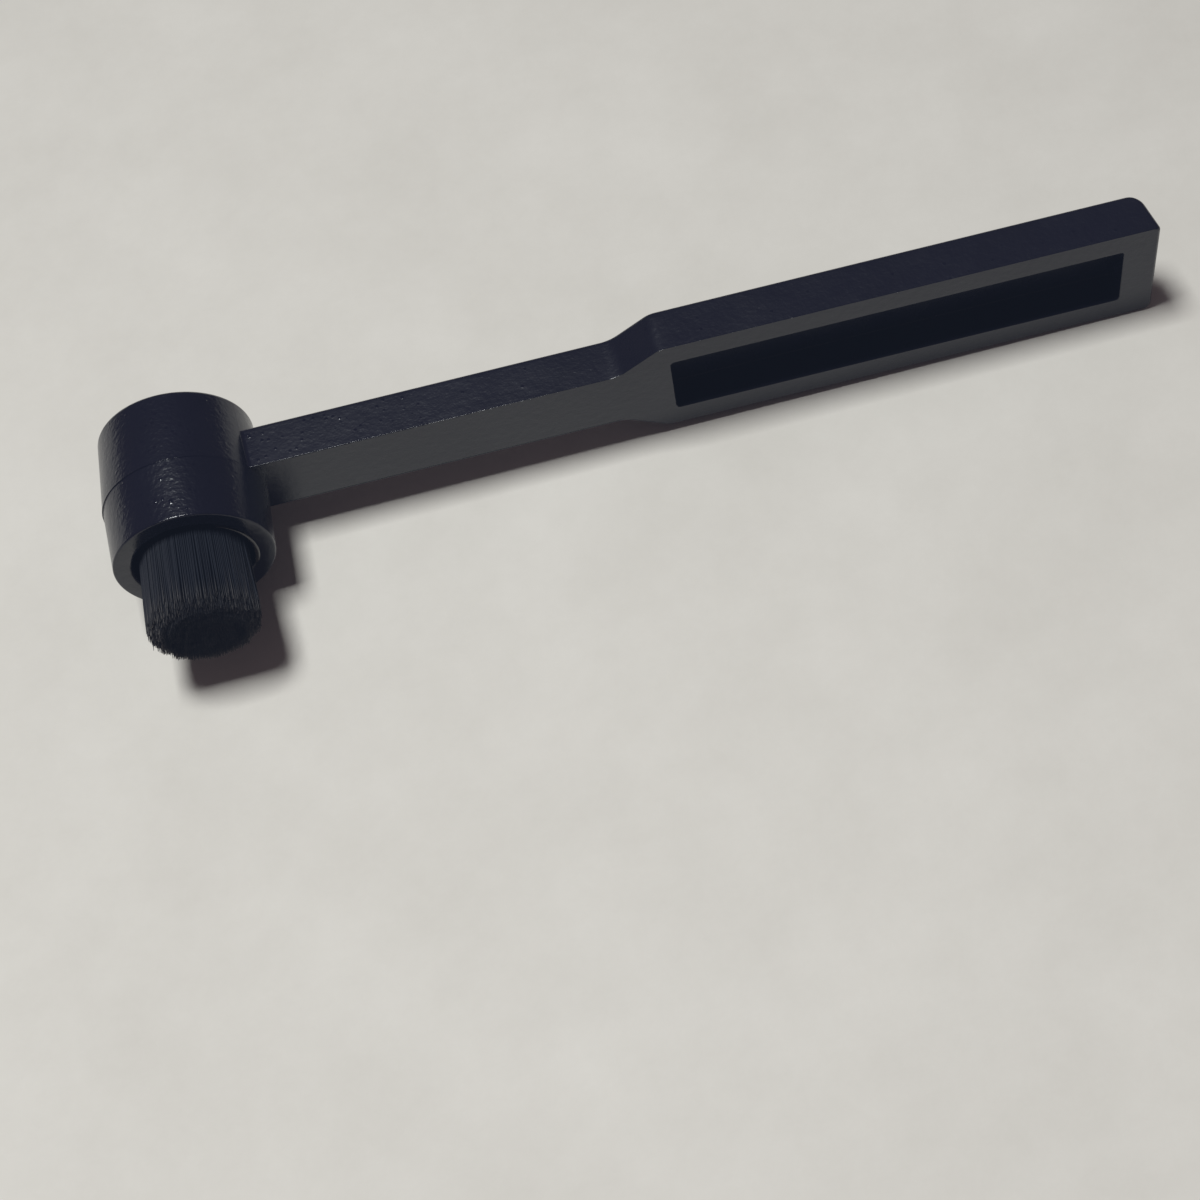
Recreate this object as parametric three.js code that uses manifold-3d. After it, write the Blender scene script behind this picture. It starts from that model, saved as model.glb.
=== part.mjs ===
// A small cleaning brush: a round tuft of filaments set in a cylindrical head,
// at right angles to a flat moulded handle. It lies on its side, as it rests.
//
// Millimetres. +X runs along the handle from the head to the grip's end, the tuft
// points to -Y, and +Z is up. The origin is the bottom centre of the whole brush.

import * as THREE from 'three';
import * as BufferGeometryUtils from 'three/addons/utils/BufferGeometryUtils.js';
import Module from 'manifold-3d';

const wasm = await Module();
wasm.setup();

// ---- Driving dimensions, from the head's axis and the parting plane at y = 0 ----

// Head: a cylinder along Y with mould draft both ways from the parting plane.
const headRadius = 5.74;
const headBack = 5.88;
const headBackRadius = 5.47;
const headFront = -4.7;
const headFrontRadius = 5.57;
const partingStep = 0.03;
const backRounding = 0.38;
const rimRounding = 0.15;

// Bore for the tuft, open at the front.
const boreRadius = 4.15;
const boreFloor = 3.8;
const mouthRounding = 0.35;

// Handle: one flat bar whose front face is the parting plane.
const handleThickness = 3.36;
const neckHeight = 5.14;
const gripHeight = 8.92;
const rampStart = 31.16;
const rampEnd = 34.14;
const gripEnd = 69.5;
const endDraft = 0.6;
const neckRoot = boreRadius + 0.5;
const rampRounding = 0.5;
const endRounding = 0.5;
const endBackRounding = 1.0;
const backEdgeRounding = 0.3;

// Open pocket in the grip's front face.
const pocketStart = 34.84;
const pocketEnd = 66.97;
const pocketHeight = 5.31;
const pocketDepth = 2.3;
const pocketRounding = 0.3;

// Tuft, trimmed to a low crown, its welded base and the adhesive that holds it.
const tuftTip = -10.7;
const tuftTipRadius = 4.0;
const tuftMouthRadius = 3.8;
const tuftRootRadius = 3.6;
const crownRounding = 1.1;
const knotThickness = 1.6;
const knotRadius = 3.72;
const bondLine = 0.3;
const beadDepth = 2.2;
const clearance = 0.05;

const roundSegments = 96;
const innerSegments = 64;
const arcSteps = 4;

// ---- Shape helpers ----

const point = (x, y) => new THREE.Vector2(x, y);

// Points of a quarter round in a profile, from angle a to angle b in degrees.
function arcPoints(centreX, centreY, radius, a, b) {
  const points = [];
  for (let i = 0; i <= arcSteps; i += 1) {
    const angle = THREE.MathUtils.degToRad(a + ((b - a) * i) / arcSteps);
    points.push(point(centreX + radius * Math.cos(angle), centreY + radius * Math.sin(angle)));
  }
  return points;
}

// A closed outline whose corners [x, y, reach] are rounded from that far before each
// corner to that far after it.
function roundedShape(corners) {
  const shape = new THREE.Shape();
  corners.forEach(([x, y, reach], i) => {
    const corner = point(x, y);
    const before = corners[(i + corners.length - 1) % corners.length];
    const after = corners[(i + 1) % corners.length];
    const into = point(before[0], before[1]).sub(corner).setLength(reach).add(corner);
    const out = point(after[0], after[1]).sub(corner).setLength(reach).add(corner);
    if (i === 0) shape.moveTo(into.x, into.y);
    else shape.lineTo(into.x, into.y);
    if (reach > 0) shape.quadraticCurveTo(x, y, out.x, out.y);
  });
  shape.closePath();
  return shape;
}

// An outline drawn in X and Z, made solid between two values of Y.
function slab(shape, front, back, bevel = 0) {
  const geometry = new THREE.ExtrudeGeometry(shape, {
    depth: back - front - 2 * bevel,
    bevelEnabled: bevel > 0,
    bevelThickness: bevel,
    bevelSize: bevel,
    bevelOffset: -bevel,
    bevelSegments: 3,
    curveSegments: arcSteps,
  });
  return geometry.rotateX(Math.PI / 2).translate(0, back - bevel, 0);
}

// A profile of (radius, y) points turned about the head's axis.
function turned(profile, segments) {
  return new THREE.LatheGeometry(profile, segments);
}

function solid(geometry) {
  const plain = geometry.clone();
  plain.deleteAttribute('normal');
  plain.deleteAttribute('uv');
  const merged = BufferGeometryUtils.mergeVertices(plain, 1e-5);
  const mesh = new wasm.Mesh({
    numProp: 3,
    vertProperties: new Float32Array(merged.attributes.position.array),
    triVerts: new Uint32Array(merged.index.array),
  });
  return new wasm.Manifold(mesh);
}

function geometryOf(manifold) {
  const mesh = manifold.getMesh();
  const geometry = new THREE.BufferGeometry();
  geometry.setAttribute('position', new THREE.BufferAttribute(mesh.vertProperties, 3));
  geometry.setIndex(new THREE.BufferAttribute(mesh.triVerts, 1));
  geometry.computeVertexNormals();
  return geometry;
}

// ---- Materials ----

const material = (color, roughness) =>
  new THREE.MeshStandardMaterial({ color, roughness, metalness: 0 });

const blackPlastic = material(0x1b1c1f, 0.5);
const filament = material(0x14161a, 0.6);
const weldedNylon = material(0x101114, 0.4);
const epoxy = material(0x2a2622, 0.25);

// ---- Sub-parts ----

// The head is turned with its bore already open at the front.
function head() {
  const profile = [
    point(0, headBack),
    ...arcPoints(headBackRadius - backRounding, headBack - backRounding, backRounding, 90, 0),
    point(headRadius, 0),
    point(headRadius - partingStep, 0),
    ...arcPoints(headFrontRadius - rimRounding, headFront + rimRounding, rimRounding, 0, -90),
    ...arcPoints(boreRadius + mouthRounding, headFront + mouthRounding, mouthRounding, 270, 180),
    point(boreRadius, boreFloor),
    point(0, boreFloor),
  ];
  return solid(turned(profile.reverse(), roundSegments));
}

function handle() {
  const outline = roundedShape([
    [neckRoot, -neckHeight / 2, 0],
    [rampStart, -neckHeight / 2, rampRounding],
    [rampEnd, -gripHeight / 2, rampRounding],
    [gripEnd, -gripHeight / 2, endRounding],
    [gripEnd, gripHeight / 2, endRounding],
    [rampEnd, gripHeight / 2, rampRounding],
    [rampStart, neckHeight / 2, rampRounding],
    [neckRoot, neckHeight / 2, 0],
  ]);
  // Only the back edges are rounded, so the front is made too deep and cut off.
  const bar = solid(slab(outline, -handleThickness, handleThickness, backEdgeRounding));
  const plan = roundedShape([
    [neckRoot, 0, 0],
    [gripEnd, 0, 0],
    [gripEnd - endDraft, handleThickness, endBackRounding],
    [neckRoot, handleThickness, 0],
  ]);
  const plate = new THREE.ExtrudeGeometry(plan, {
    depth: gripHeight * 2,
    bevelEnabled: false,
    curveSegments: arcSteps,
  });
  return bar.intersect(solid(plate.translate(0, 0, -gripHeight)));
}

function handleBody() {
  const pocket = roundedShape([
    [pocketStart, -pocketHeight / 2, pocketRounding],
    [pocketEnd, -pocketHeight / 2, pocketRounding],
    [pocketEnd, pocketHeight / 2, pocketRounding],
    [pocketStart, pocketHeight / 2, pocketRounding],
  ]);
  const cutter = solid(slab(pocket, -pocketDepth, pocketDepth));
  return geometryOf(head().add(handle()).subtract(cutter));
}

const knotBack = boreFloor - bondLine;
const knotFront = knotBack - knotThickness;
const beadFront = knotFront - beadDepth;

function knotBase() {
  const profile = [
    point(0, knotFront),
    point(knotRadius, knotFront),
    point(knotRadius, knotBack),
    point(0, knotBack),
  ];
  return turned(profile, innerSegments);
}

// A cup: a floor behind the welded base and a wall around it and the tuft's root.
function adhesiveBed() {
  const outer = boreRadius - clearance;
  const besideKnot = knotRadius + clearance;
  const besideTuft = tuftRootRadius + 3 * clearance;
  const profile = [
    point(0, knotBack + clearance),
    point(besideKnot, knotBack + clearance),
    point(besideKnot, knotFront),
    point(besideTuft, knotFront - clearance),
    point(besideTuft, beadFront + bondLine),
    point(outer, beadFront),
    point(outer, boreFloor - clearance),
    point(0, boreFloor - clearance),
  ];
  return turned(profile, innerSegments);
}

function bristleTuft() {
  const crownEdge = tuftTipRadius - crownRounding;
  const profile = [
    point(0, tuftTip),
    ...arcPoints(crownEdge, tuftTip + crownRounding, crownRounding, -90, 0),
    point(tuftMouthRadius, headFront),
    point(tuftRootRadius, knotFront - clearance),
    point(0, knotFront - clearance),
  ];
  return turned(profile, innerSegments);
}

// ---- Assembly ----

function part(name, geometry, finish) {
  const mesh = new THREE.Mesh(geometry, finish);
  mesh.name = name;
  return mesh;
}

const tuftGroup = new THREE.Group();
tuftGroup.add(part('adhesive_bed', adhesiveBed(), epoxy));
tuftGroup.add(part('knot_base', knotBase(), weldedNylon));
tuftGroup.add(part('bristle_tuft', bristleTuft(), filament));

const brush = new THREE.Group();
brush.add(part('handle_body', handleBody(), blackPlastic));
brush.add(tuftGroup);

// The origin moves from the head's axis to the bottom centre of the whole brush.
brush.position.set(
  -(gripEnd - headRadius) / 2,
  -(headBack + tuftTip) / 2,
  headRadius,
);

export default brush;
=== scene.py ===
import math

import bmesh
import bpy
import numpy as np
from mathutils import Matrix, Vector


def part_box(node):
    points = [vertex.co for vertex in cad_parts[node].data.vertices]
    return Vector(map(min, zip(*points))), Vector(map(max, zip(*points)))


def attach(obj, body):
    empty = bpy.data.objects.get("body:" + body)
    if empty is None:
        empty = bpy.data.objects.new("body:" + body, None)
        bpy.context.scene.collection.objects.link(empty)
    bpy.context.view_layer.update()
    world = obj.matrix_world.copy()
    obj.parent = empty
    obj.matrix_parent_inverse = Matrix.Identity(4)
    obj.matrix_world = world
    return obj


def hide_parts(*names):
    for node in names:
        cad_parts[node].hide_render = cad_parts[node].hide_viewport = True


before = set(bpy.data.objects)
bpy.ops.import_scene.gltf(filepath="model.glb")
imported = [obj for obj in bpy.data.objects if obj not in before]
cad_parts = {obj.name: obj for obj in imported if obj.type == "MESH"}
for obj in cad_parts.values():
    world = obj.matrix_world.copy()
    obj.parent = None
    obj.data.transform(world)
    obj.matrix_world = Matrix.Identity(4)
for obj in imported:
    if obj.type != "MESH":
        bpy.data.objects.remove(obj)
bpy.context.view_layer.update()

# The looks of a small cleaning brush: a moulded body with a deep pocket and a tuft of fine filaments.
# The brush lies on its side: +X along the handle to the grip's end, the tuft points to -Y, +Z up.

MM = 0.001

# ---- Shapes, in millimetres from the head's axis at the parting plane ----
# The main sizes are the CAD model's, apart from 0.02 mm on the tuft, and the edges are finer.

HEAD_RADIUS = 5.74
HEAD_BACK = 5.88
HEAD_BACK_RADIUS = 5.47
HEAD_FRONT = -4.7
HEAD_FRONT_RADIUS = 5.57
PARTING_STEP = 0.03
HALF_SHIFT = 0.03
BACK_ROUNDING = 0.38
RIM_ROUNDING = 0.13
BORE_RADIUS = 4.15
BORE_FLOOR = 3.8
MOUTH_ROUNDING = 0.35

HANDLE_THICKNESS = 3.36
NECK_HEIGHT = 5.14
GRIP_HEIGHT = 8.92
RAMP_START = 31.16
RAMP_END = 34.14
GRIP_END = 69.5
END_DRAFT = 0.6
NECK_FILLET = 0.4
NECK_ROOT_SHARE = 0.9
FILLET_OVERLAP = 0.01
RAMP_START_ROUNDING = 2.4
RAMP_END_ROUNDING = 1.6
END_ROUNDING = 0.35
END_BACK_ROUNDING = 1.0
END_FRONT_ROUNDING = 0.3
BACK_EDGE_ROUNDING = 0.33
FRONT_EDGE_ROUNDING = 0.01

POCKET_START = 34.84
POCKET_END = 66.97
POCKET_HEIGHT = 5.31
POCKET_DEPTH = 2.3
POCKET_ROUNDING = 0.3
POCKET_LIP = 0.04
POCKET_DRAFT = 0.05
POCKET_FLOOR_ROUNDING = 0.06

TUFT_TIP = -10.7
TUFT_TIP_RADIUS = 3.98
TUFT_MOUTH_RADIUS = 3.78
TUFT_ROOT_RADIUS = 3.6
CROWN_ROUNDING = 1.1
TUFT_ROOT = 1.85

# Where the head's axis meets the parting plane, in the frame's metres.
body_low, body_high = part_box("handle_body")
ORIGIN = Vector((
    body_low.x + HEAD_RADIUS * MM,
    body_high.y - HEAD_BACK * MM,
    (body_low.z + body_high.z) / 2,
))

rng = np.random.default_rng(20)


def at(x, y, z):
    """A point given in millimetres from the head's axis, in the frame's metres."""
    return ORIGIN + Vector((x, y, z)) * MM


# ---- Mesh helpers ----


def new_object(name, verts, faces):
    """A mesh object from points in millimetres round the head's axis."""
    mesh = bpy.data.meshes.new(name)
    mesh.from_pydata([at(*v) for v in verts], [], faces)
    mesh.validate()
    obj = bpy.data.objects.new(name, mesh)
    bpy.context.scene.collection.objects.link(obj)
    return obj


def face_outwards(obj):
    bm = bmesh.new()
    bm.from_mesh(obj.data)
    bmesh.ops.remove_doubles(bm, verts=bm.verts, dist=1e-7)
    bmesh.ops.recalc_face_normals(bm, faces=bm.faces)
    bm.to_mesh(obj.data)
    bm.free()


def smooth(obj, angle=30):
    """Smooth shading that keeps edges sharper than the angle, with flat faces kept flat."""
    for polygon in obj.data.polygons:
        polygon.use_smooth = True
    obj.data.set_sharp_from_angle(angle=math.radians(angle))
    weighted = obj.modifiers.new("flat_faces", "WEIGHTED_NORMAL")
    weighted.mode = "FACE_AREA"
    weighted.weight = 80
    weighted.keep_sharp = True


def apply_modifiers(obj):
    depsgraph = bpy.context.evaluated_depsgraph_get()
    mesh = bpy.data.meshes.new_from_object(obj.evaluated_get(depsgraph))
    old = obj.data
    obj.modifiers.clear()
    obj.data = mesh
    mesh.name = obj.name
    bpy.data.meshes.remove(old)


def combine(obj, other, operation):
    """Joins or cuts obj with other, which is then removed."""
    boolean = obj.modifiers.new(operation.lower(), "BOOLEAN")
    boolean.operation = operation
    boolean.solver = "EXACT"
    boolean.object = other
    apply_modifiers(obj)
    mesh = other.data
    bpy.data.objects.remove(other)
    bpy.data.meshes.remove(mesh)


def arc(centre_x, centre_y, radius, start, end, steps):
    """Points of an arc between two angles in degrees."""
    angles = np.radians(np.linspace(start, end, steps + 1))
    return [(centre_x + radius * math.cos(a), centre_y + radius * math.sin(a)) for a in angles]


def turned(name, profile, segments=256):
    """A profile of (radius, y) points, turned about the head's axis; radius 0 closes the end."""
    verts = []
    rings = []
    for radius, y in profile:
        if radius < 1e-9:
            rings.append([len(verts)])
            verts.append((0, y, 0))
            continue
        rings.append(list(range(len(verts), len(verts) + segments)))
        for i in range(segments):
            a = 2 * math.pi * i / segments
            verts.append((radius * math.cos(a), y, radius * math.sin(a)))
    faces = []
    for one, two in zip(rings, rings[1:]):
        for i in range(segments):
            j = (i + 1) % segments
            if len(one) == 1:
                faces.append((one[0], two[i], two[j]))
            elif len(two) == 1:
                faces.append((one[i], two[0], one[j]))
            else:
                faces.append((one[i], two[i], two[j], one[j]))
    obj = new_object(name, verts, faces)
    face_outwards(obj)
    return obj


def rounded_outline(corners, steps=8):
    """Points and outward normals of a closed outline whose corners (x, z, radius) are rounded by arcs.

    The corners run anticlockwise."""
    points = []
    normals = []
    count = len(corners)
    for i, (x, z, radius) in enumerate(corners):
        corner = Vector((x, z))
        back = (Vector(corners[i - 1][:2]) - corner).normalized()
        ahead = (Vector(corners[(i + 1) % count][:2]) - corner).normalized()
        normal_in = Vector((-back.y, back.x))
        normal_out = Vector((ahead.y, -ahead.x))
        if radius == 0:
            diagonal = normal_in + normal_out
            points.append(corner)
            normals.append(diagonal * (2 / diagonal.length_squared))
            continue
        half = math.acos(max(-1, min(1, back.dot(ahead)))) / 2
        reach = radius / math.tan(half)
        convex = normal_in.x * normal_out.y - normal_in.y * normal_out.x > 0
        side = 1 if convex else -1
        centre = corner + back * reach - normal_in * radius * side
        for k in range(steps + 1):
            normal = normal_in.slerp(normal_out, k / steps)
            points.append(centre + normal * radius * side)
            normals.append(normal)
    return points, normals


def plate(name, corners_at, levels):
    """A plate from outlines in X and Z, closed at both ends.

    corners_at(y) gives the corners, and each level is (inset, y), from front to back."""
    verts = []
    for inset, y in levels:
        points, normals = rounded_outline(corners_at(y))
        for point, normal in zip(points, normals):
            moved = point - normal * inset
            verts.append((moved.x, y, moved.y))
    count = len(points)
    faces = [list(range(count))]
    for level in range(len(levels) - 1):
        base = level * count
        for i in range(count):
            j = (i + 1) % count
            faces.append((base + i, base + j, base + count + j, base + count + i))
    last = (len(levels) - 1) * count
    faces.append([last + i for i in range(count)])
    obj = new_object(name, verts, faces)
    face_outwards(obj)
    return obj


def rectangle(left, right, height, radius):
    half = height / 2
    return [(left, -half, radius), (right, -half, radius), (right, half, radius), (left, half, radius)]


# ---- Moulded body ----


def build_head():
    profile = [(0, HEAD_BACK)]
    profile += arc(HEAD_BACK_RADIUS - BACK_ROUNDING, HEAD_BACK - BACK_ROUNDING, BACK_ROUNDING, 90, 5, 8)
    profile += [(HEAD_RADIUS - 0.01, 0.10), (HEAD_RADIUS, 0.03), (HEAD_RADIUS - PARTING_STEP, -0.03)]
    profile += arc(HEAD_FRONT_RADIUS - RIM_ROUNDING, HEAD_FRONT + RIM_ROUNDING, RIM_ROUNDING, -4, -90, 8)
    profile += arc(BORE_RADIUS + MOUTH_ROUNDING, HEAD_FRONT + MOUTH_ROUNDING, MOUTH_ROUNDING, 270, 180, 8)
    profile += [(BORE_RADIUS, BORE_FLOOR), (0, BORE_FLOOR)]
    shell = turned("body_shell", profile)
    for vertex in shell.data.vertices:
        if vertex.co.y < ORIGIN.y - 0.01 * MM:
            vertex.co.x += HALF_SHIFT * MM
    return shell


def rounded_step(depth, radius):
    """How far a rounded edge has drawn in at a depth into its rounding."""
    depth = min(max(depth, 0), radius)
    return radius - math.sqrt(radius**2 - depth**2)


def handle_corners(y):
    """The handle's outline at a depth behind its front face, with fillets that touch the head's round."""
    neck = NECK_HEIGHT / 2
    grip = GRIP_HEIGHT / 2
    head = HEAD_RADIUS - (HEAD_RADIUS - HEAD_BACK_RADIUS) * y / HEAD_BACK - FILLET_OVERLAP
    centre_z = neck + NECK_FILLET
    centre_x = math.sqrt((head + NECK_FILLET) ** 2 - centre_z**2)
    touch = math.degrees(math.atan2(centre_z, centre_x))
    fillet = arc(centre_x, centre_z, NECK_FILLET, 180 + touch, 270, 8)
    upper = [(x, z, 0) for x, z in fillet]
    lower = [(x, -z, 0) for x, z in fillet]
    root_x, root_z = (NECK_ROOT_SHARE * c for c in fillet[0])
    end = GRIP_END - END_DRAFT * y / HANDLE_THICKNESS
    end -= rounded_step(END_FRONT_ROUNDING - y, END_FRONT_ROUNDING)
    end -= rounded_step(y - HANDLE_THICKNESS + END_BACK_ROUNDING, END_BACK_ROUNDING)
    return [
        (root_x, -root_z, 0),
        *lower,
        (RAMP_START, -neck, RAMP_START_ROUNDING),
        (RAMP_END, -grip, RAMP_END_ROUNDING),
        (end, -grip, END_ROUNDING),
        (end, grip, END_ROUNDING),
        (RAMP_END, grip, RAMP_END_ROUNDING),
        (RAMP_START, neck, RAMP_START_ROUNDING),
        *reversed(upper),
        (root_x, root_z, 0),
    ]


def build_handle():
    front = arc(FRONT_EDGE_ROUNDING, FRONT_EDGE_ROUNDING, FRONT_EDGE_ROUNDING, 270, 180, 2)
    shoulder = HANDLE_THICKNESS - BACK_EDGE_ROUNDING
    straight = HANDLE_THICKNESS - END_BACK_ROUNDING
    near_front = [(0, y) for y in np.linspace(FRONT_EDGE_ROUNDING, END_FRONT_ROUNDING, 6)[1:]]
    near_back = [(0, y) for y in np.linspace(straight, shoulder, 6)[:-1]]
    back = arc(BACK_EDGE_ROUNDING, shoulder, BACK_EDGE_ROUNDING, 180, 90, 6)
    return plate("handle", handle_corners, front + near_front + near_back + back)


def build_body():
    body = build_head()
    combine(body, build_handle(), "UNION")
    pocket = rectangle(POCKET_START, POCKET_END, POCKET_HEIGHT, POCKET_ROUNDING)
    levels = [(-POCKET_LIP, -0.3), (-POCKET_LIP, 0), (0, POCKET_LIP)]
    inset = POCKET_FLOOR_ROUNDING + POCKET_DRAFT
    levels += arc(inset, POCKET_DEPTH - POCKET_FLOOR_ROUNDING, POCKET_FLOOR_ROUNDING, 180, 90, 4)
    combine(body, plate("pocket", lambda y: pocket, levels), "DIFFERENCE")
    smooth(body)
    return body


# ---- Flash along the parting line ----

FLASH_STEP = 0.06
FLASH_ROOT = 0.05
FLASH_SHOULDER = 0.7
FLASH_LEAST_HALF = 0.012
FLASH_FLARE = 0.55
FLASH_CLEAR = 0.3
RAMP_FLASH_CLEAR = 0.35

# Least and greatest heights.
NECK_FLASH = (0.035, 0.09)
RAMP_FLASH = (0.002, 0.012)
HEAD_FLASH = (0.004, 0.035)

# The neck's flash gets lower along the handle: places and shares of its height.
NECK_FADE = ((14, 0.8), (28, 0.1))
LOWER_FLASH_SHARE = 0.2


def flash_ridge(name, path):
    """A thin, broken bead of flash. path holds (x, z, nx, nz, height): a place, its outward way, a height."""
    verts = []
    faces = []
    sides = 5
    for x, z, nx, nz, height in path:
        half = FLASH_LEAST_HALF + FLASH_FLARE * height
        shoulder_out = FLASH_SHOULDER * height
        shoulder_half = FLASH_SHOULDER * half
        section = [(-FLASH_ROOT, half), (shoulder_out, shoulder_half), (height, 0)]
        section += [(shoulder_out, -shoulder_half), (-FLASH_ROOT, -half)]
        for out, y in section:
            verts.append((x + nx * out, y, z + nz * out))
    for i in range(len(path) - 1):
        a = sides * i
        b = a + sides
        for k in range(sides):
            m = (k + 1) % sides
            faces.append((a + k, b + k, b + m, a + m))
    last = sides * (len(path) - 1)
    faces.append(tuple(range(sides)))
    faces.append(tuple(last + k for k in reversed(range(sides))))
    obj = new_object(name, verts, faces)
    face_outwards(obj)
    smooth(obj, 60)
    return obj


def ragged(count, low, high, knots):
    """A height for each of count places, wandering between low and high."""
    coarse = rng.random(knots) ** 2
    wave = np.interp(np.linspace(0, knots - 1, count), np.arange(knots), coarse)
    grain = rng.random(count)
    return low + (high - low) * wave * (0.35 + 0.65 * grain)


def build_flash():
    pieces = []
    start = math.sqrt(HEAD_RADIUS**2 - (NECK_HEIGHT / 2) ** 2)
    slope_length = math.hypot(RAMP_END - RAMP_START, (GRIP_HEIGHT - NECK_HEIGHT) / 2)
    ramp_x = (RAMP_END - RAMP_START) / slope_length
    ramp_z = (GRIP_HEIGHT - NECK_HEIGHT) / 2 / slope_length
    for side, label in ((1, "upper"), (-1, "lower")):
        xs = np.arange(start, RAMP_START - FLASH_CLEAR, FLASH_STEP)
        places, shares = zip((start, 1.0), *NECK_FADE)
        heights = ragged(len(xs), *NECK_FLASH, 60) * np.interp(xs, places, shares)
        heights *= 1.0 if side > 0 else LOWER_FLASH_SHARE
        neck = [(x, side * NECK_HEIGHT / 2, 0, side, h) for x, h in zip(xs, heights)]
        pieces.append(flash_ridge("flash_neck_" + label, neck))
        along = np.arange(RAMP_FLASH_CLEAR, slope_length - RAMP_FLASH_CLEAR, FLASH_STEP)
        heights = ragged(len(along), *RAMP_FLASH, 12)
        ramp = []
        for s, h in zip(along, heights):
            x = RAMP_START + ramp_x * s
            z = side * (NECK_HEIGHT / 2 + ramp_z * s)
            ramp.append((x, z, -ramp_z, side * ramp_x, h))
        pieces.append(flash_ridge("flash_ramp_" + label, ramp))
    angle = math.asin(NECK_HEIGHT / 2 / HEAD_RADIUS)
    turns = np.linspace(angle, 2 * math.pi - angle, 520)
    heights = ragged(len(turns), *HEAD_FLASH, 70)
    ring = [
        (HEAD_RADIUS * math.cos(a), HEAD_RADIUS * math.sin(a), math.cos(a), math.sin(a), h)
        for a, h in zip(turns, heights)
    ]
    pieces.append(flash_ridge("flash_head", ring))
    return pieces


# ---- Tuft ----

FILAMENT_RADIUS = 0.052
FILAMENT_SIDES = 5
TUFT_SPACING = 0.118
ROOT_JITTER = 0.014
CLUMP_SIZE = 0.45

# Shares of the bundle's radius, where filaments start to lean out, to have pale tips, to be in the outer
# layer, and to stray now and then.
LEAN_FROM = 0.7
PALE_FROM = 0.68
OUTER_FROM = 0.8
STRAY_FROM = 0.9

STRAY_CHANCE = 0.04
STRAY_LEAN = (0.1, 0.3)
PALE_LENGTH = (0.8, 1.7)
END_GREY = 0.2
# Strength of a painted reflection that lightens the outer tips on the side away from the handle.
SIDE_SHEEN = 0.07
TAPER_FROM = 0.85
TAPER_LOSS = 0.65


def crown(radius):
    """The trimmed tip's y at a distance from the tuft's axis: flat, with a rounded edge."""
    edge = TUFT_TIP_RADIUS - CROWN_ROUNDING
    if radius <= edge:
        return TUFT_TIP
    over = min(radius - edge, CROWN_ROUNDING)
    return TUFT_TIP + CROWN_ROUNDING - math.sqrt(CROWN_ROUNDING**2 - over**2)


def filament_seeds():
    """Root places on a jittered hexagonal grid inside the root circle."""
    seeds = []
    limit = TUFT_ROOT_RADIUS - FILAMENT_RADIUS
    rows = int(limit / (TUFT_SPACING * math.sqrt(3) / 2)) + 1
    for row in range(-rows, rows + 1):
        z = row * TUFT_SPACING * math.sqrt(3) / 2
        offset = TUFT_SPACING / 2 if row % 2 else 0
        for column in range(-rows - 2, rows + 3):
            root_x = column * TUFT_SPACING + offset
            root_x += rng.uniform(-ROOT_JITTER, ROOT_JITTER)
            root_z = z + rng.uniform(-ROOT_JITTER, ROOT_JITTER)
            if math.hypot(root_x, root_z) < limit:
                seeds.append((root_x, root_z))
    return seeds


def tuft_radius(y):
    """The bundle's radius at a depth: it flares from its root to its mouth and on to its tips."""
    depths = (TUFT_TIP, HEAD_FRONT, TUFT_ROOT)
    return np.interp(y, depths, (TUFT_TIP_RADIUS, TUFT_MOUTH_RADIUS, TUFT_ROOT_RADIUS))


def filament_path(x, z, clump):
    """Rings (x, y, z, radius, paleness) of one filament, from its root to its fine tip.

    Tips are worn pale, and painted bounce light makes the lower-left tips paler still; a painted reflection
    lightens the side away from the handle."""
    share = math.hypot(x, z) / TUFT_ROOT_RADIUS
    angle = math.atan2(z, x)
    outer = max(0.0, (share - LEAN_FROM) / (1 - LEAN_FROM))
    flare = rng.normal(0, 0.02) + 0.03 * outer
    twist = rng.normal(0, 0.003 + 0.007 * outer)
    bend = rng.normal(0, 0.015 + 0.02 * outer)
    if share > STRAY_FROM and rng.random() < STRAY_CHANCE:
        flare += rng.uniform(*STRAY_LEAN)
    tip = crown(min(share * TUFT_TIP_RADIUS, TUFT_TIP_RADIUS))
    tip += abs(rng.normal(0, 0.06 + 0.2 * outer)) + clump[2]
    towards_edge = min(1.0, max(0.0, (share - PALE_FROM) / (OUTER_FROM - PALE_FROM)))
    # Painted bounce light: tips towards the lower left are made paler; the random share is wear.
    bounce_lit = 0.75 - 0.38 * math.sin(angle) - 0.15 * math.cos(angle)
    pale = rng.random() * towards_edge * bounce_lit
    pale_length = rng.uniform(*PALE_LENGTH)
    end_grey = END_GREY * rng.random() ** 2
    # Painted reflection: outer filaments on the side away from the handle are lightened.
    side_sheen = SIDE_SHEEN * outer * max(0.0, -math.cos(angle))
    fine = [0.0, 0.25, 0.5, 0.7, 0.82, 0.9, 0.96, 1.0]
    steps = fine if share > OUTER_FROM else [0.0, 0.5, 0.85, 1.0]
    rings = []
    for s in steps:
        y = TUFT_ROOT + (tip - TUFT_ROOT) * s
        radial = share * tuft_radius(y) + flare * outer * s**3
        around = angle + twist * s * s
        sway = bend * math.sin(math.pi * s) * 0.3
        cx = radial * math.cos(around) + clump[0] * s**3 + sway * math.sin(around)
        cz = radial * math.sin(around) + clump[1] * s**3 - sway * math.cos(around)
        taper = 1.0 if s < TAPER_FROM else 1.0 - TAPER_LOSS * ((s - TAPER_FROM) / (1 - TAPER_FROM))
        worn_and_lit = max(pale, end_grey) * max(0.0, 1.0 - (y - tip) / pale_length)
        rings.append((cx, y, cz, FILAMENT_RADIUS * taper, max(worn_and_lit, side_sheen)))
    return rings


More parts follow.
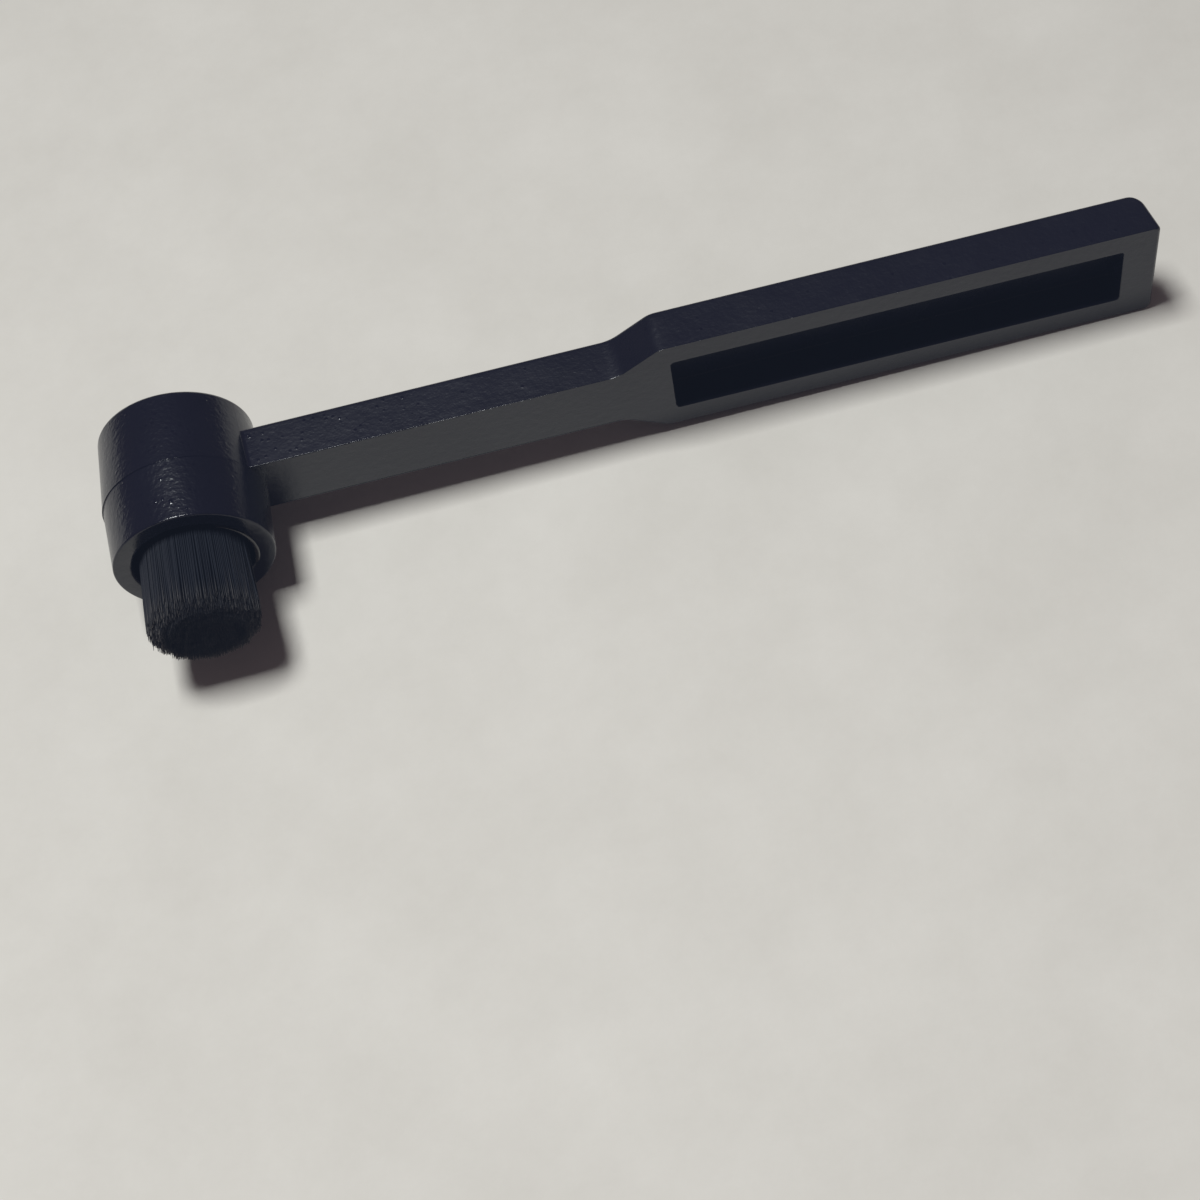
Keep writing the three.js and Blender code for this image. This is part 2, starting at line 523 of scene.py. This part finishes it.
def filament_mesh(name, paths):
    """One bundle of filaments as closed tapered rods, with a tone and a paleness at each point."""
    verts = []
    faces = []
    tones = []
    pales = []
    sides = FILAMENT_SIDES
    circle = [(math.cos(2 * math.pi * i / sides), math.sin(2 * math.pi * i / sides)) for i in range(sides)]
    for rings in paths:
        tone = rng.random()
        start = len(verts)
        for x, y, z, radius, paleness in rings:
            for c, s in circle:
                verts.append((x + radius * c, y, z + radius * s))
                tones.append(tone)
                pales.append(paleness)
        for k in range(len(rings) - 1):
            base = start + k * sides
            for i in range(sides):
                j = (i + 1) % sides
                faces.append((base + i, base + j, base + sides + j, base + sides + i))
        faces.append(tuple(start + i for i in reversed(range(sides))))
        last = start + (len(rings) - 1) * sides
        faces.append(tuple(last + i for i in range(sides)))
    obj = new_object(name, verts, faces)
    for polygon in obj.data.polygons:
        polygon.use_smooth = True
    for attribute, values in (("tone", tones), ("pale", pales)):
        layer = obj.data.attributes.new(attribute, "FLOAT", "POINT")
        layer.data.foreach_set("value", np.array(values, np.float32))
    return obj


def build_tuft():
    """The filaments, sorted into an outer layer and an inner bundle."""
    outer = []
    inner = []
    clumps = {}
    for x, z in filament_seeds():
        r = math.hypot(x, z)
        a = math.atan2(z, x)
        key = (int(r / CLUMP_SIZE), int((a + math.pi) * r / CLUMP_SIZE))
        if key not in clumps:
            size = 0.010 + 0.04 * max(0.0, r / TUFT_ROOT_RADIUS - LEAN_FROM)
            clumps[key] = (rng.normal(0, size), rng.normal(0, size), rng.normal(0, 0.06))
        path = filament_path(x, z, clumps[key])
        (outer if r > OUTER_FROM * TUFT_ROOT_RADIUS else inner).append(path)
    return filament_mesh("tuft_outer", outer), filament_mesh("tuft_inner", inner)


# ---- Adhesive round the tuft's root ----

# The bead of squeezed-out adhesive runs between two angles, in degrees, and drifts in towards the tuft.
BEAD_START = -28
BEAD_END = 55
BEAD_RADIUS = 4.38
BEAD_DRIFT = 0.36
BEAD_HALF_WIDTH = 0.2
BEAD_MIDDLE = -4.62
BEAD_BULGE = 0.13
BEAD_THINNEST = 0.05
BEAD_SKEW = 0.42

# Gaps round the welded base and the tuft, then the meniscus.
KNOT_GAP = 0.04
KNOT_SHOULDER = 0.05
TUFT_GAP = 0.14
MENISCUS_RISE = 0.12
MENISCUS_DIP = 0.2


def build_adhesive():
    """The cured cup with a concave meniscus between the tuft's root and the bore's wall."""
    bed_low, bed_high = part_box("adhesive_bed")
    knot_low, knot_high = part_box("knot_base")
    front = (bed_low.y - ORIGIN.y) / MM
    back = (bed_high.y - ORIGIN.y) / MM
    knot_front = (knot_low.y - ORIGIN.y) / MM
    knot_back = (knot_high.y - ORIGIN.y) / MM
    knot_radius = (knot_high.x - knot_low.x) / 2 / MM + KNOT_GAP
    outer = (bed_high.x - bed_low.x) / 2 / MM
    inner = TUFT_ROOT_RADIUS + TUFT_GAP
    floor = knot_back + KNOT_GAP
    profile = [(0, floor), (knot_radius, floor), (knot_radius, knot_front)]
    profile += [(inner, knot_front - KNOT_SHOULDER), (inner, front + MENISCUS_RISE)]
    for k in range(1, 9):
        s = k / 9
        dip = MENISCUS_DIP * math.sin(math.pi * s)
        profile.append((inner + (outer - inner) * s, front + MENISCUS_RISE * (1 - s) + dip))
    profile += [(outer, front), (outer, back), (0, back)]
    bed = turned("adhesive_cup", profile, 128)
    smooth(bed, 40)
    return bed


def build_bead():
    """A crescent of squeezed-out adhesive over the grip's side of the bore's mouth."""
    verts = []
    faces = []
    across = 10
    along = 48
    for k in range(along + 1):
        s = k / along
        angle = math.radians(BEAD_START + (BEAD_END - BEAD_START) * s)
        swell = BEAD_THINNEST + (1 - BEAD_THINNEST) * math.sin(math.pi * s**BEAD_SKEW)
        radius = BEAD_RADIUS - BEAD_DRIFT * s
        half_width = BEAD_HALF_WIDTH * swell
        bulge = BEAD_BULGE * swell
        front = arc(0, 0, 1, 0, -180, across - 2)
        section = [(radius + half_width * c, BEAD_MIDDLE + bulge * d) for c, d in front]
        section.append((radius, HEAD_FRONT + MOUTH_ROUNDING))
        for out, y in section:
            verts.append((out * math.cos(angle), y, out * math.sin(angle)))
    for k in range(along):
        for i in range(across):
            j = (i + 1) % across
            faces.append((k * across + i, k * across + j, (k + 1) * across + j, (k + 1) * across + i))
    faces.append(tuple(range(across)))
    faces.append(tuple(along * across + i for i in reversed(range(across))))
    bead = new_object("adhesive_bead", verts, faces)
    face_outwards(bead)
    smooth(bead, 60)
    return bead


# ---- Materials ----


class Nodes:
    """A short way to write a material's node tree."""

    def __init__(self, name):
        self.material = bpy.data.materials.new(name)
        self.material.use_nodes = True
        self.tree = self.material.node_tree
        self.shader = self.tree.nodes["Principled BSDF"]
        coordinates = self.tree.nodes.new("ShaderNodeTexCoord")
        self.place = coordinates.outputs["Object"]
        self.normal = coordinates.outputs["Normal"]

    def set(self, **values):
        for key, value in values.items():
            self.shader.inputs[key.replace("_", " ")].default_value = value

    def node(self, kind, **inputs):
        node = self.tree.nodes.new(kind)
        for key, value in inputs.items():
            socket = node.inputs[key.replace("_", " ")]
            if isinstance(value, bpy.types.NodeSocket):
                self.tree.links.new(value, socket)
            else:
                socket.default_value = value
        return node

    def noise(self, scale, detail=2.0, roughness=0.5, place=None):
        """Noise whose scale is in cycles per millimetre."""
        node = self.node(
            "ShaderNodeTexNoise",
            Vector=place or self.place,
            Scale=scale / MM,
            Detail=detail,
            Roughness=roughness,
        )
        return node.outputs["Fac"]

    def ramp(self, value, stops):
        node = self.node("ShaderNodeValToRGB", Fac=value)
        elements = node.color_ramp.elements
        while len(elements) < len(stops):
            elements.new(0.5)
        for element, (position, color) in zip(elements, stops):
            element.position = position
            element.color = (*color, 1) if len(color) == 3 else color
        return node.outputs["Color"]

    def grey(self, value, low, high, from_low=0.0, from_high=1.0):
        node = self.node(
            "ShaderNodeMapRange",
            Value=value,
            From_Min=from_low,
            From_Max=from_high,
            To_Min=low,
            To_Max=high,
        )
        return node.outputs["Result"]

    def stretched(self, x, y, z):
        node = self.node("ShaderNodeMapping", Vector=self.place, Scale=(x, y, z))
        return node.outputs["Vector"]

    def along(self, low, high, start, end):
        """A value that goes from low to high between two places along the handle, in millimetres."""
        x = self.node("ShaderNodeSeparateXYZ", Vector=self.place).outputs["X"]
        return self.grey(x, low, high, at(start, 0, 0).x, at(end, 0, 0).x)

    def math(self, operation, a, b):
        node = self.tree.nodes.new("ShaderNodeMath")
        node.operation = operation
        for socket, value in zip(node.inputs, (a, b)):
            if isinstance(value, bpy.types.NodeSocket):
                self.tree.links.new(value, socket)
            else:
                socket.default_value = value
        return node.outputs[0]

    def bump(self, height, distance, strength=1.0, normal=None):
        node = self.node("ShaderNodeBump", Height=height, Distance=distance * MM, Strength=strength)
        if normal:
            self.tree.links.new(normal, node.inputs["Normal"])
        return node.outputs["Normal"]

    def link(self, output, name):
        self.tree.links.new(output, self.shader.inputs[name])


# The plastic's relief, in millimetres.
GRAIN_HEIGHT = 0.010
WRINKLE_HEIGHT = 0.025
MOTTLE_HEIGHT = 0.022
NODULE_HEIGHT = 0.028
NODULE_CELLS_PER_MM = 2.2

# Stretches along the handle where the head's finish ends, nodules get rare, and the grip's finish begins.
HEAD_ENDS = (5, 6)
NODULES_THIN_OUT = (7, 22)
GRIP_BEGINS = (20, 36)

# The polish of the head's front rim fades out between these depths.
RIM_FADES = (-4.6, -4.4)


def moulded_plastic():
    """Black plastic with a spark-eroded grain, coarser on the head, and a few raised nodules that glint."""
    n = Nodes("black_plastic")
    n.set(IOR=1.47)
    tint = n.noise(0.15, 3.0)
    n.link(n.ramp(tint, [(0.3, (0.0036, 0.0038, 0.0102)), (0.7, (0.0046, 0.0049, 0.0124))]), "Base Color")
    y = n.node("ShaderNodeSeparateXYZ", Vector=n.place).outputs["Y"]
    facing = n.node("ShaderNodeSeparateXYZ", Vector=n.normal).outputs["Z"]
    # 1 on the sides that face up or down, and 0 on the front and back.
    level = n.grey(n.math("ABSOLUTE", facing, 0.0), 0.0, 1.0, 0.5, 0.85)

    coarse = n.math("MULTIPLY", level, n.along(1.0, 0.4, *HEAD_ENDS))
    grain = n.bump(n.noise(7.0, 3.0, 0.6), GRAIN_HEIGHT)
    wrinkle = n.bump(n.math("MULTIPLY", n.noise(3.2, 1.0), coarse), WRINKLE_HEIGHT, 1.0, grain)
    mottle = n.bump(n.noise(1.6, 3.0), MOTTLE_HEIGHT, 1.0, wrinkle)

    cells = n.node("ShaderNodeTexVoronoi", Vector=n.place, Scale=NODULE_CELLS_PER_MM / MM)
    dome = n.grey(cells.outputs["Distance"], 1.0, 0.0, 0.0, 0.36)
    chance = n.node("ShaderNodeSeparateColor", Color=cells.outputs["Color"]).outputs["Red"]
    chosen = n.math("GREATER_THAN", chance, n.along(0.45, 0.94, *NODULES_THIN_OUT))
    size = n.math("MULTIPLY", chosen, n.math("MULTIPLY", level, n.along(1.0, 0.75, *HEAD_ENDS)))
    nodules = n.math("MULTIPLY", n.math("POWER", dome, 1.5), size)
    n.link(n.bump(nodules, NODULE_HEIGHT, 1.0, mottle), "Normal")

    satin = n.grey(n.noise(0.4, 3.0), 0.27, 0.32, 0.3, 0.7)
    head = n.along(0.06, 0.0, *HEAD_ENDS)
    grip = n.along(0.0, 0.025, *GRIP_BEGINS)
    rim = n.grey(y, 0.04, 0.0, *(at(0, depth, 0).y for depth in RIM_FADES))
    from_parting = n.math("ABSOLUTE", n.math("SUBTRACT", y, at(0, 0, 0).y), 0.0)
    front = n.grey(from_parting, 0.08, 0.0, 0.04 * MM, 0.07 * MM)
    smoother = n.grey(nodules, 0.0, 0.14, 0.02, 0.3)
    for zone in (front, grip, head, rim):
        smoother = n.math("ADD", smoother, zone)
    n.link(n.math("SUBTRACT", satin, smoother), "Roughness")
    return n.material


def nylon_filament():
    """Blue-black filament, grey-brown towards its tip where it is worn pale; the same colour carries painted
    bounce light and a painted reflection.
    """
    n = Nodes("filament")
    n.set(IOR=1.45, Specular_IOR_Level=0.3)
    tone = n.node("ShaderNodeAttribute")
    tone.attribute_name = "tone"
    pale = n.node("ShaderNodeAttribute")
    pale.attribute_name = "pale"
    dark = n.ramp(tone.outputs["Fac"], [(0.0, (0.0045, 0.0062, 0.0118)), (1.0, (0.0060, 0.0082, 0.0148))])
    worn_and_lit = n.ramp(tone.outputs["Fac"], [(0.0, (0.080, 0.074, 0.072)), (1.0, (0.250, 0.228, 0.208))])
    mix = n.node("ShaderNodeMix")
    mix.data_type = "RGBA"
    n.tree.links.new(pale.outputs["Fac"], mix.inputs[0])
    n.tree.links.new(dark, mix.inputs[6])
    n.tree.links.new(worn_and_lit, mix.inputs[7])
    n.link(mix.outputs[2], "Base Color")
    n.link(n.grey(tone.outputs["Fac"], 0.50, 0.58), "Roughness")
    lengthwise = n.noise(6.0, 2.0, 0.6, n.stretched(1.0, 0.12, 1.0))
    n.link(n.bump(lengthwise, 0.004), "Normal")
    return n.material


def welded_nylon():
    n = Nodes("welded_nylon")
    n.set(IOR=1.53)
    melt = n.noise(1.2, 3.0)
    n.link(n.ramp(melt, [(0.3, (0.004, 0.004, 0.006)), (0.7, (0.012, 0.012, 0.014))]), "Base Color")
    n.link(n.grey(melt, 0.2, 0.45), "Roughness")
    n.link(n.bump(melt, 0.05), "Normal")
    return n.material


def cured_adhesive():
    n = Nodes("cured_adhesive")
    n.set(IOR=1.55)
    flow = n.noise(0.8, 2.0)
    n.link(n.ramp(flow, [(0.3, (0.016, 0.013, 0.011)), (0.7, (0.034, 0.028, 0.023))]), "Base Color")
    n.link(n.grey(flow, 0.12, 0.3), "Roughness")
    n.link(n.bump(flow, 0.06), "Normal")
    return n.material


# How fast the painted light gradient makes the table paler along X and Y, per metre.
PAINTED_LIGHT_ALONG_X = 0.14
PAINTED_LIGHT_ALONG_Y = -1.8


def pale_table():
    """A plain pale table with a faint mottle, and a painted light gradient that makes it slightly paler
    towards the front.
    """
    n = Nodes("pale_table")
    n.set(IOR=1.45)
    mottle = n.noise(0.06, 8.0, 0.72)
    color = n.ramp(mottle, [(0.3, (0.585, 0.555, 0.505)), (0.7, (0.650, 0.620, 0.570))])
    axes = n.node("ShaderNodeSeparateXYZ", Vector=n.place).outputs
    along_x = n.math("MULTIPLY", axes["X"], PAINTED_LIGHT_ALONG_X)
    along_y = n.math("MULTIPLY", axes["Y"], PAINTED_LIGHT_ALONG_Y)
    # Painted light: the base colour is scaled by a gradient that stands in for uneven lighting.
    painted_light = n.grey(n.math("ADD", along_x, along_y), 0.85, 1.20, -0.19, 0.16)
    shade = n.node("ShaderNodeVectorMath", Vector=color)
    shade.operation = "SCALE"
    n.tree.links.new(painted_light, shade.inputs["Scale"])
    n.link(shade.outputs["Vector"], "Base Color")
    n.set(Roughness=0.75)
    n.link(n.bump(n.noise(1.5, 4.0), 0.01), "Normal")
    return n.material


def dress(obj, material):
    obj.data.materials.clear()
    obj.data.materials.append(material)


# ---- Camera, floor and light ----

# The brush leans back on the rear edge of its head and the lower rear corner of its grip. The angle is
# matched to the shadow in the photo. It is not worked out from balance.
TABLE_LEAN = math.radians(4.2)
HEAD_DROP = HEAD_BACK_RADIUS * math.cos(TABLE_LEAN) + HEAD_BACK * math.sin(TABLE_LEAN)
GRIP_DROP = HANDLE_THICKNESS * math.sin(TABLE_LEAN) + GRIP_HEIGHT / 2 * math.cos(TABLE_LEAN)
TABLE_TILT = math.atan2(HEAD_DROP - GRIP_DROP, GRIP_END)

# Focal length and place in millimetres, angles in degrees.
CAMERA_LENS = 73.4
CAMERA_PLACE = (24.43, -97.96, 139.51)
CAMERA_PITCH = 59.37
CAMERA_HEADING = 1.24
CAMERA_ROLL = 12.73

# Light added to the darkest places, in red, green and blue.
LENS_VEIL = (0.0058, 0.0076, 0.0125)

# The lamp is level. Its height is in millimetres above a place near the table under the handle's middle, and
# its place and its half sizes are shares of that height.
LAMP_OVER_X = 30
LAMP_OVER_Z = -5
LAMP_HEIGHT = 444
LAMP_LEFT = 0.197
LAMP_FRONT = -0.066
LAMP_ALONG_X = 0.12
LAMP_ALONG_Y = 0.13
LAMP_POWER = 1.92
LAMP_COLOR = (0.972, 1.012, 1.022)
AMBIENT_COLOR = (1.0, 0.78, 0.82, 1)
AMBIENT_STRENGTH = 0.078


def build_camera():
    data = bpy.data.cameras.new("camera")
    data.lens = CAMERA_LENS
    data.sensor_width = 36
    data.clip_start = 0.001
    data.clip_end = 20
    camera = bpy.data.objects.new("camera", data)
    heading = Matrix.Rotation(math.radians(-CAMERA_HEADING), 4, "Z")
    pitch = Matrix.Rotation(math.radians(90 - CAMERA_PITCH), 4, "X")
    roll = Matrix.Rotation(math.radians(-CAMERA_ROLL), 4, "Z")
    camera.matrix_world = Matrix.Translation(at(*CAMERA_PLACE)) @ heading @ pitch @ roll
    bpy.context.scene.collection.objects.link(camera)
    bpy.context.scene.camera = camera


def build_floor():
    half = 3.0
    turn = Matrix.Rotation(TABLE_LEAN, 4, "X") @ Matrix.Rotation(-TABLE_TILT, 4, "Y")
    drop = turn @ Vector((0, 0, -HEAD_DROP * math.cos(TABLE_TILT) * MM))
    verts = [(-half, -half, 0), (half, -half, 0), (half, half, 0), (-half, half, 0)]
    mesh = bpy.data.meshes.new("floor")
    mesh.from_pydata(verts, [], [(0, 1, 2, 3)])
    floor = bpy.data.objects.new("floor", mesh)
    bpy.context.scene.collection.objects.link(floor)
    floor.matrix_world = Matrix.Translation(ORIGIN + drop) @ turn
    dress(floor, pale_table())


def build_light():
    lamp = bpy.data.lights.new("lamp", "AREA")
    lamp.shape = "RECTANGLE"
    lamp.size = 2 * LAMP_ALONG_X * LAMP_HEIGHT * MM
    lamp.size_y = 2 * LAMP_ALONG_Y * LAMP_HEIGHT * MM
    lamp.energy = LAMP_POWER
    lamp.color = LAMP_COLOR
    obj = bpy.data.objects.new("lamp", lamp)
    bpy.context.scene.collection.objects.link(obj)
    left = LAMP_LEFT * LAMP_HEIGHT
    front = LAMP_FRONT * LAMP_HEIGHT
    obj.location = at(LAMP_OVER_X - left, -front, LAMP_HEIGHT + LAMP_OVER_Z)
    world = bpy.data.worlds.new("world")
    bpy.context.scene.world = world
    world.use_nodes = True
    background = world.node_tree.nodes["Background"]
    background.inputs["Color"].default_value = AMBIENT_COLOR
    background.inputs["Strength"].default_value = AMBIENT_STRENGTH


# ---- Assembly ----

# The photo's tones: no filmic curve, and a faint bluish veil over the darkest places.
view = bpy.context.scene.view_settings
view.view_transform = "Standard"
view.use_curve_mapping = True
view.curve_mapping.black_level = [-level for level in LENS_VEIL]
view.curve_mapping.update()

build_camera()
build_floor()
build_light()

plastic = moulded_plastic()

body = build_body()
dress(body, plastic)
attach(body, "root")
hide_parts("handle_body")

for ridge in build_flash():
    dress(ridge, plastic)
    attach(ridge, "root")

filament = nylon_filament()
for bundle in build_tuft():
    dress(bundle, filament)
    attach(bundle, "root")
    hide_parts("bristle_tuft")

adhesive = cured_adhesive()
for piece in (build_adhesive(), build_bead()):
    dress(piece, adhesive)
    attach(piece, "root")
    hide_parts("adhesive_bed")

dress(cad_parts["knot_base"], welded_nylon())
